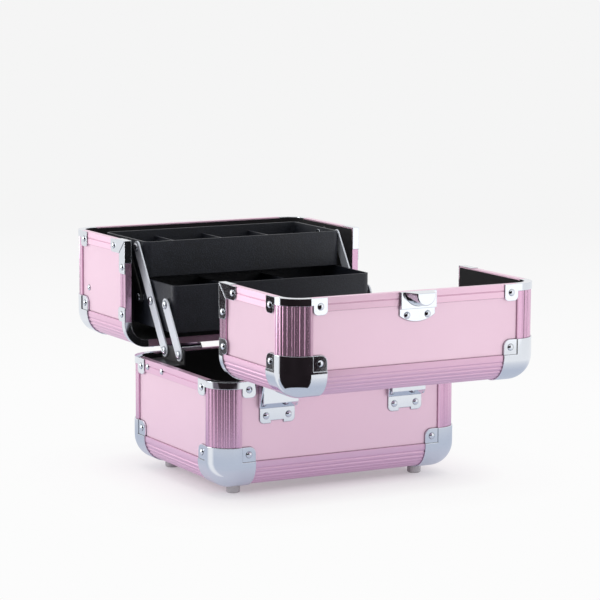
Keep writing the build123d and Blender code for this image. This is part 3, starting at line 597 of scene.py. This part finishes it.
def heads_group():
    """Node group that sets a domed head on every point, turned to the point's outward direction."""
    group = bpy.data.node_groups.new("rivet_heads", "GeometryNodeTree")
    for name, way, kind in (
        ("Seats", "INPUT", "NodeSocketGeometry"),
        ("Head Radius", "INPUT", "NodeSocketFloat"),
        ("Head Height", "INPUT", "NodeSocketFloat"),
        ("Finish", "INPUT", "NodeSocketMaterial"),
        ("Heads", "OUTPUT", "NodeSocketGeometry"),
    ):
        group.interface.new_socket(name, in_out=way, socket_type=kind)
    tree = Tree(group)
    given = tree.node("NodeGroupInput")
    radius = given.pick("Head Radius")
    sphere = {"Segments": HEAD_SEGMENTS, "Rings": HEAD_RINGS, "Radius": 1.0}
    ball = tree.node("GeometryNodeMeshUVSphere", None, sphere, "Mesh")
    x, y, z = tree.axes(tree.node("GeometryNodeInputPosition"))
    dome = tree.vector(x * radius, y * radius, z.math("MAXIMUM", 0.0) * given.pick("Head Height"))
    shaped = tree.node("GeometryNodeSetPosition", None, {"Geometry": ball, "Position": dome})
    smooth = tree.node("GeometryNodeSetShadeSmooth", None, {"Geometry": shaped})
    vectors = {"data_type": "FLOAT_VECTOR"}
    outward = tree.node("GeometryNodeInputNamedAttribute", vectors, {"Name": "outward"}, "Attribute")
    turn = tree.node("FunctionNodeAlignRotationToVector", {"axis": "Z"}, {"Vector": outward})
    placed = {"Points": given.pick("Seats"), "Instance": smooth, "Rotation": turn}
    heads = tree.node("GeometryNodeInstanceOnPoints", None, placed)
    real = tree.node("GeometryNodeRealizeInstances", None, {0: heads})
    coat = {"Geometry": real, "Material": given.pick("Finish")}
    tree.node("NodeGroupOutput", None, {0: tree.node("GeometryNodeSetMaterial", None, coat)})
    return group


def domed_heads(group, node, body, seats, radius, height):
    """Smooth domed heads on the seats, as one piece that rides on a body."""
    points = bpy.data.meshes.new(node + "_seats")
    points.from_pydata([seat for seat, outward in seats], [], [])
    directions = points.attributes.new("outward", "FLOAT_VECTOR", "POINT")
    for item, (seat, outward) in zip(directions.data, seats):
        item.vector = outward
    maker = bpy.data.objects.new(node + "_maker", points)
    bpy.context.scene.collection.objects.link(maker)
    modifier = maker.modifiers.new("heads", "NODES")
    modifier.node_group = group
    values = {"Head Radius": radius, "Head Height": height, "Finish": chrome}
    for item in group.interface.items_tree:
        if item.name in values:
            modifier[item.identifier] = values[item.name]
    bpy.context.view_layer.update()
    made = bpy.data.meshes.new_from_object(maker.evaluated_get(bpy.context.evaluated_depsgraph_get()))
    bpy.data.objects.remove(maker)
    heads = bpy.data.objects.new(node + "_heads", made)
    bpy.context.scene.collection.objects.link(heads)
    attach(heads, body)
    return heads


heads_maker = heads_group()
for node, body in (("base_rivets", "base"), ("front_rivets", "front_lid"), ("back_rivets", "back_lid")):
    seats = rivet_seats(node, frame["record"]["behaviour"]["bodies"][body])
    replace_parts(domed_heads(heads_maker, node, body, seats, RIVET_RADIUS, RIVET_HEIGHT), node)
for node, body in (
    ("tray_brackets", "base"),
    ("lower_tray_pivots", "lower_tray"),
    ("upper_tray_pivots", "upper_tray"),
):
    domed_heads(heads_maker, node, body, pivot_seats(node), PIVOT_RADIUS, PIVOT_HEIGHT)


# Studio: a white table in even light. Lengths are in metres; stops are pairs of a position and a share
SKY = 0.5
FLOOR_HALF = 14.0
# The floor's pale lilac colour shows near the case: painted pink reflection of the case
FLOOR_REFLECTION_TINT = (249, 238, 246)
NEAR_WHITE = (252, 252, 252)
FAR_WHITE = (245, 245, 245)
FADE_SCALE = 0.2
FADE_STOPS = [(0.1, 0.0), (0.4, 1.0)]

# The case's shadow is kept round a box under the case, half its size given
SHADOW_BOX = (0.09, 0.06, 0.0)
SHADOW_SCALE = 3.0
SHADOW_STOPS = [(0.0, 0.3), (0.1, 0.68), (0.25, 0.95), (0.45, 1.0)]

# The table as polished metal sees it: cool grey painted shade near the case, white further off and in a
# painted pool of light at the left, and darker painted shade before the case's near corner, in a sector
# that widens away from the case
METAL_TABLE_SHADE = (200, 206, 219)
WHITE_STOPS = [(0.2, 0.0), (0.42, 1.0)]
POOL_HEADING = math.radians(-121.0)
POOL_STOPS = [(0.93, 0.0), (0.995, 1.0)]
DARK_TABLE_SHADE = (116, 108, 116)
DARK_HEADING = math.radians(-42.5)
DARK_NEAR_STOPS = [(0.25, 0.0), (0.34, 1.0)]
DARK_WIDER = 0.36
DARK_WIDER_STOPS = [(0.25, 0.0), (0.65, 1.0)]
DARK_SIDE_SCALE = 0.6
DARK_SIDE_STOPS = [(0.423, 0.0), (0.498, 1.0)]

# Dark cloth, a painted dark reflection in polished metal, which hangs in a part of a circle round the front
# lid's near corner: degrees and metres
CLOTH_START = -111.0
CLOTH_END = 26.0
CLOTH_INSET = 0.021
CLOTH_NEAR = 0.041
CLOTH_FAR = 1.7
CLOTH_LOW = 0.07
CLOTH_HIGH = 1.3
CLOTH_STEPS = 36

# Two small dark cards, seen only in polished metal: painted dark reflections
SIDE_CARD_X = -0.36
SIDE_CARD_Y = (0.205, 0.4)
SIDE_CARD_Z = (0.035, 0.14)
FRONT_CARD_AWAY = 0.3
FRONT_CARD_EDGE = 0.012
FRONT_CARD_WIDTH = 0.034
CARD_FACE = (0, 1, 3, 2)

# Lamps: name, place, aim, width, height, how bright the face is, and whether polished metal shows it
LAMPS = (
    ("right_lamp", (0.47, -0.88, 0.26), (0.0, 0.0, 0.12), 0.45, 0.5, 0.35, True),
    ("left_lamp", (-0.84, 0.45, 0.28), (0.0, 0.0, 0.12), 0.4, 0.54, 4.0, True),
    ("front_fill", (0.1, -1.4, 0.13), (0.0, 0.0, 0.08), 1.0, 0.24, 8.6, False),
    ("left_fill", (-1.5, -0.1, 0.16), (0.0, 0.0, 0.1), 0.9, 0.3, 4.1, False),
    ("right_fill", (1.5, -0.1, 0.16), (0.0, 0.0, 0.1), 0.9, 0.3, 7.0, False),
    ("back_fill", (0.1, 1.4, 0.13), (0.0, 0.0, 0.08), 1.0, 0.24, 8.0, False),
    ("top_fill", (0.0, 0.0, 1.9), (0.0, 0.0, 0.0), 1.5, 1.5, 1.9, False),
)


def surroundings():
    """Even white light from all round, and the pale backdrop that the camera sees."""
    world = bpy.data.worlds.new("studio")
    bpy.context.scene.world = world
    world.use_nodes = True
    tree = Tree(world.node_tree)
    light = world.node_tree.nodes["Background"].inputs
    tree.feed(light["Color"], colour(*FAR_WHITE))
    tree.feed(light["Strength"], tree.seen() * (1.0 - SKY) + SKY)


def studio_sheet(name, points, faces, finish):
    """A sheet that belongs to the studio, not to the case."""
    mesh = bpy.data.meshes.new(name)
    mesh.from_pydata(points, [], faces)
    mesh.materials.append(finish.material)
    made = bpy.data.objects.new(name, mesh)
    bpy.context.scene.collection.objects.link(made)
    return made


def table_in_metal(finish, where, clear, white):
    """The table's colour in polished metal, with painted shade and a painted pool of light, from a place on
    it and how far that is clear of the case.
    """
    aside = finish.vector_math("SUBTRACT", where, (*base_corner.xy, 0.0))
    heading = finish.vector_math("NORMALIZE", aside)

    def towards(angle):
        """How far a place lies towards an angle from the case's near corner: 1 is straight that way."""
        way = (math.sin(angle), -math.cos(angle), 0.0)
        return finish.vector_math("DOT_PRODUCT", heading, way, output="Value")

    bright = finish.ramp(towards(POOL_HEADING), POOL_STOPS) + finish.ramp(clear, WHITE_STOPS)
    wider = finish.ramp(clear, DARK_WIDER_STOPS) * DARK_WIDER
    sector = finish.ramp((towards(DARK_HEADING) + wider) * DARK_SIDE_SCALE, DARK_SIDE_STOPS)
    shaded = sector * finish.ramp(clear, DARK_NEAR_STOPS)
    return finish.mix(shaded, finish.mix(bright, colour(*METAL_TABLE_SHADE), white), colour(*DARK_TABLE_SHADE))


def floor():
    """Pale table, white to the camera, that keeps the shadow of the case."""
    finish = Finish("floor")
    where = finish.place()
    grain = finish.noise(where, scale=400.0, detail=2.0)
    finish.set(
        Base_Color=colour(*FLOOR_REFLECTION_TINT),
        Roughness=0.55,
        Specular_IOR_Level=0.3,
        Normal=finish.bump(grain, depth=0.01 * MM, strength=0.2),
    )
    outside = finish.vector_math("SUBTRACT", finish.vector_math("ABSOLUTE", where), SHADOW_BOX)
    beyond = finish.vector_math("MAXIMUM", outside, (0.0, 0.0, 0.0))
    clear = finish.vector_math("LENGTH", beyond, output="Value")
    away = finish.vector_math("LENGTH", where, output="Value")
    white = finish.mix(finish.ramp(away * FADE_SCALE, FADE_STOPS), colour(*NEAR_WHITE), colour(*FAR_WHITE))
    in_metal = finish.node("ShaderNodeLightPath", output="Is Glossy Ray")
    shown = finish.mix(in_metal, white, table_in_metal(finish, where, clear, white))
    glow = finish.node("ShaderNodeEmission", None, {"Color": shown, "Strength": 1.0})
    share = finish.ramp(clear * SHADOW_SCALE, SHADOW_STOPS) * finish.seen()
    lit = Term(finish, finish.shader.outputs[0])
    finish.feed(finish.surface, finish.node("ShaderNodeMixShader", None, {0: share, 1: lit, 2: glow}))
    half = FLOOR_HALF
    points = [(-half, -half, 0), (half, -half, 0), (half, half, 0), (-half, half, 0)]
    studio_sheet("floor", points, [(0, 1, 2, 3)], finish)


def dark_reflection_sheet(name, points, faces):
    """Dark sheet of the studio that only polished metal sees: a painted dark reflection, casting no shadow.
    """
    finish = Finish(name)
    folds = finish.noise(finish.place(), scale=6.0, detail=2.0)
    finish.set(
        Base_Color=finish.mix(folds, colour(30, 25, 27), colour(46, 39, 42)),
        Roughness=1.0,
        Specular_IOR_Level=0.0,
    )
    made = studio_sheet(name, points, faces, finish)
    made.visible_camera = False
    made.visible_diffuse = False
    made.visible_shadow = False
    made.visible_transmission = False


def dark_reflection_cloth():
    """Dark cloth that hangs before the front lid's corner and up behind the camera: painted dark reflection
    in polished metal.
    """
    middle = lid_corner + Vector((CLOTH_INSET, CLOTH_INSET, 0))
    outline = ((CLOTH_NEAR, CLOTH_LOW), (CLOTH_FAR, CLOTH_LOW), (CLOTH_FAR, CLOTH_HIGH))
    points = []
    for step in range(CLOTH_STEPS + 1):
        angle = math.radians(CLOTH_START + (CLOTH_END - CLOTH_START) * step / CLOTH_STEPS)
        for radius, z in outline:
            points.append((middle.x + radius * math.sin(angle), middle.y - radius * math.cos(angle), z))
    row = len(outline)
    faces = []
    for step in range(CLOTH_STEPS):
        for first in range(row * step, row * step + row - 1):
            faces.append((first, first + 1, first + row + 1, first + row))
    dark_reflection_sheet("dark_reflection_cloth", points, faces)


def side_reflection_card():
    """Small dark card beside the case that gives the front lid's end fittings their dark faces by painted
    dark reflection.
    """
    points = [(SIDE_CARD_X, y, z) for y in SIDE_CARD_Y for z in SIDE_CARD_Z]
    dark_reflection_sheet("side_reflection_card", points, [CARD_FACE])


def front_reflection_card():
    """Small dark card before the case that the flat of the front lid's left ball corner shows as painted
    dark reflection.
    """
    heading = math.radians(-CAMERA_AZIMUTH)
    fall = FRONT_CARD_AWAY * math.tan(math.radians(CAMERA_ELEVATION))
    left = ball_low.x + FRONT_CARD_EDGE + FRONT_CARD_AWAY * math.sin(heading)
    y = ball_low.y - FRONT_CARD_AWAY * math.cos(heading)
    sides = (left, left + FRONT_CARD_WIDTH)
    points = [(x, y, z - fall) for x in sides for z in (ball_low.z, ball_high.z)]
    dark_reflection_sheet("front_reflection_card", points, [CARD_FACE])


def lamp(name, place, aim, width, height, glow, in_metal):
    """Soft rectangular lamp that points at a place."""
    data = bpy.data.lights.new(name, "AREA")
    data.shape = "RECTANGLE"
    data.size = width
    data.size_y = height
    data.energy = glow * math.pi * width * height
    made = bpy.data.objects.new(name, data)
    bpy.context.scene.collection.objects.link(made)
    made.location = place
    made.rotation_euler = (Vector(aim) - Vector(place)).to_track_quat("-Z", "Y").to_euler()
    made.visible_camera = False
    made.visible_glossy = in_metal


surroundings()
floor()
dark_reflection_cloth()
side_reflection_card()
front_reflection_card()
for row in LAMPS:
    lamp(*row)

bpy.context.scene.view_settings.view_transform = "Standard"
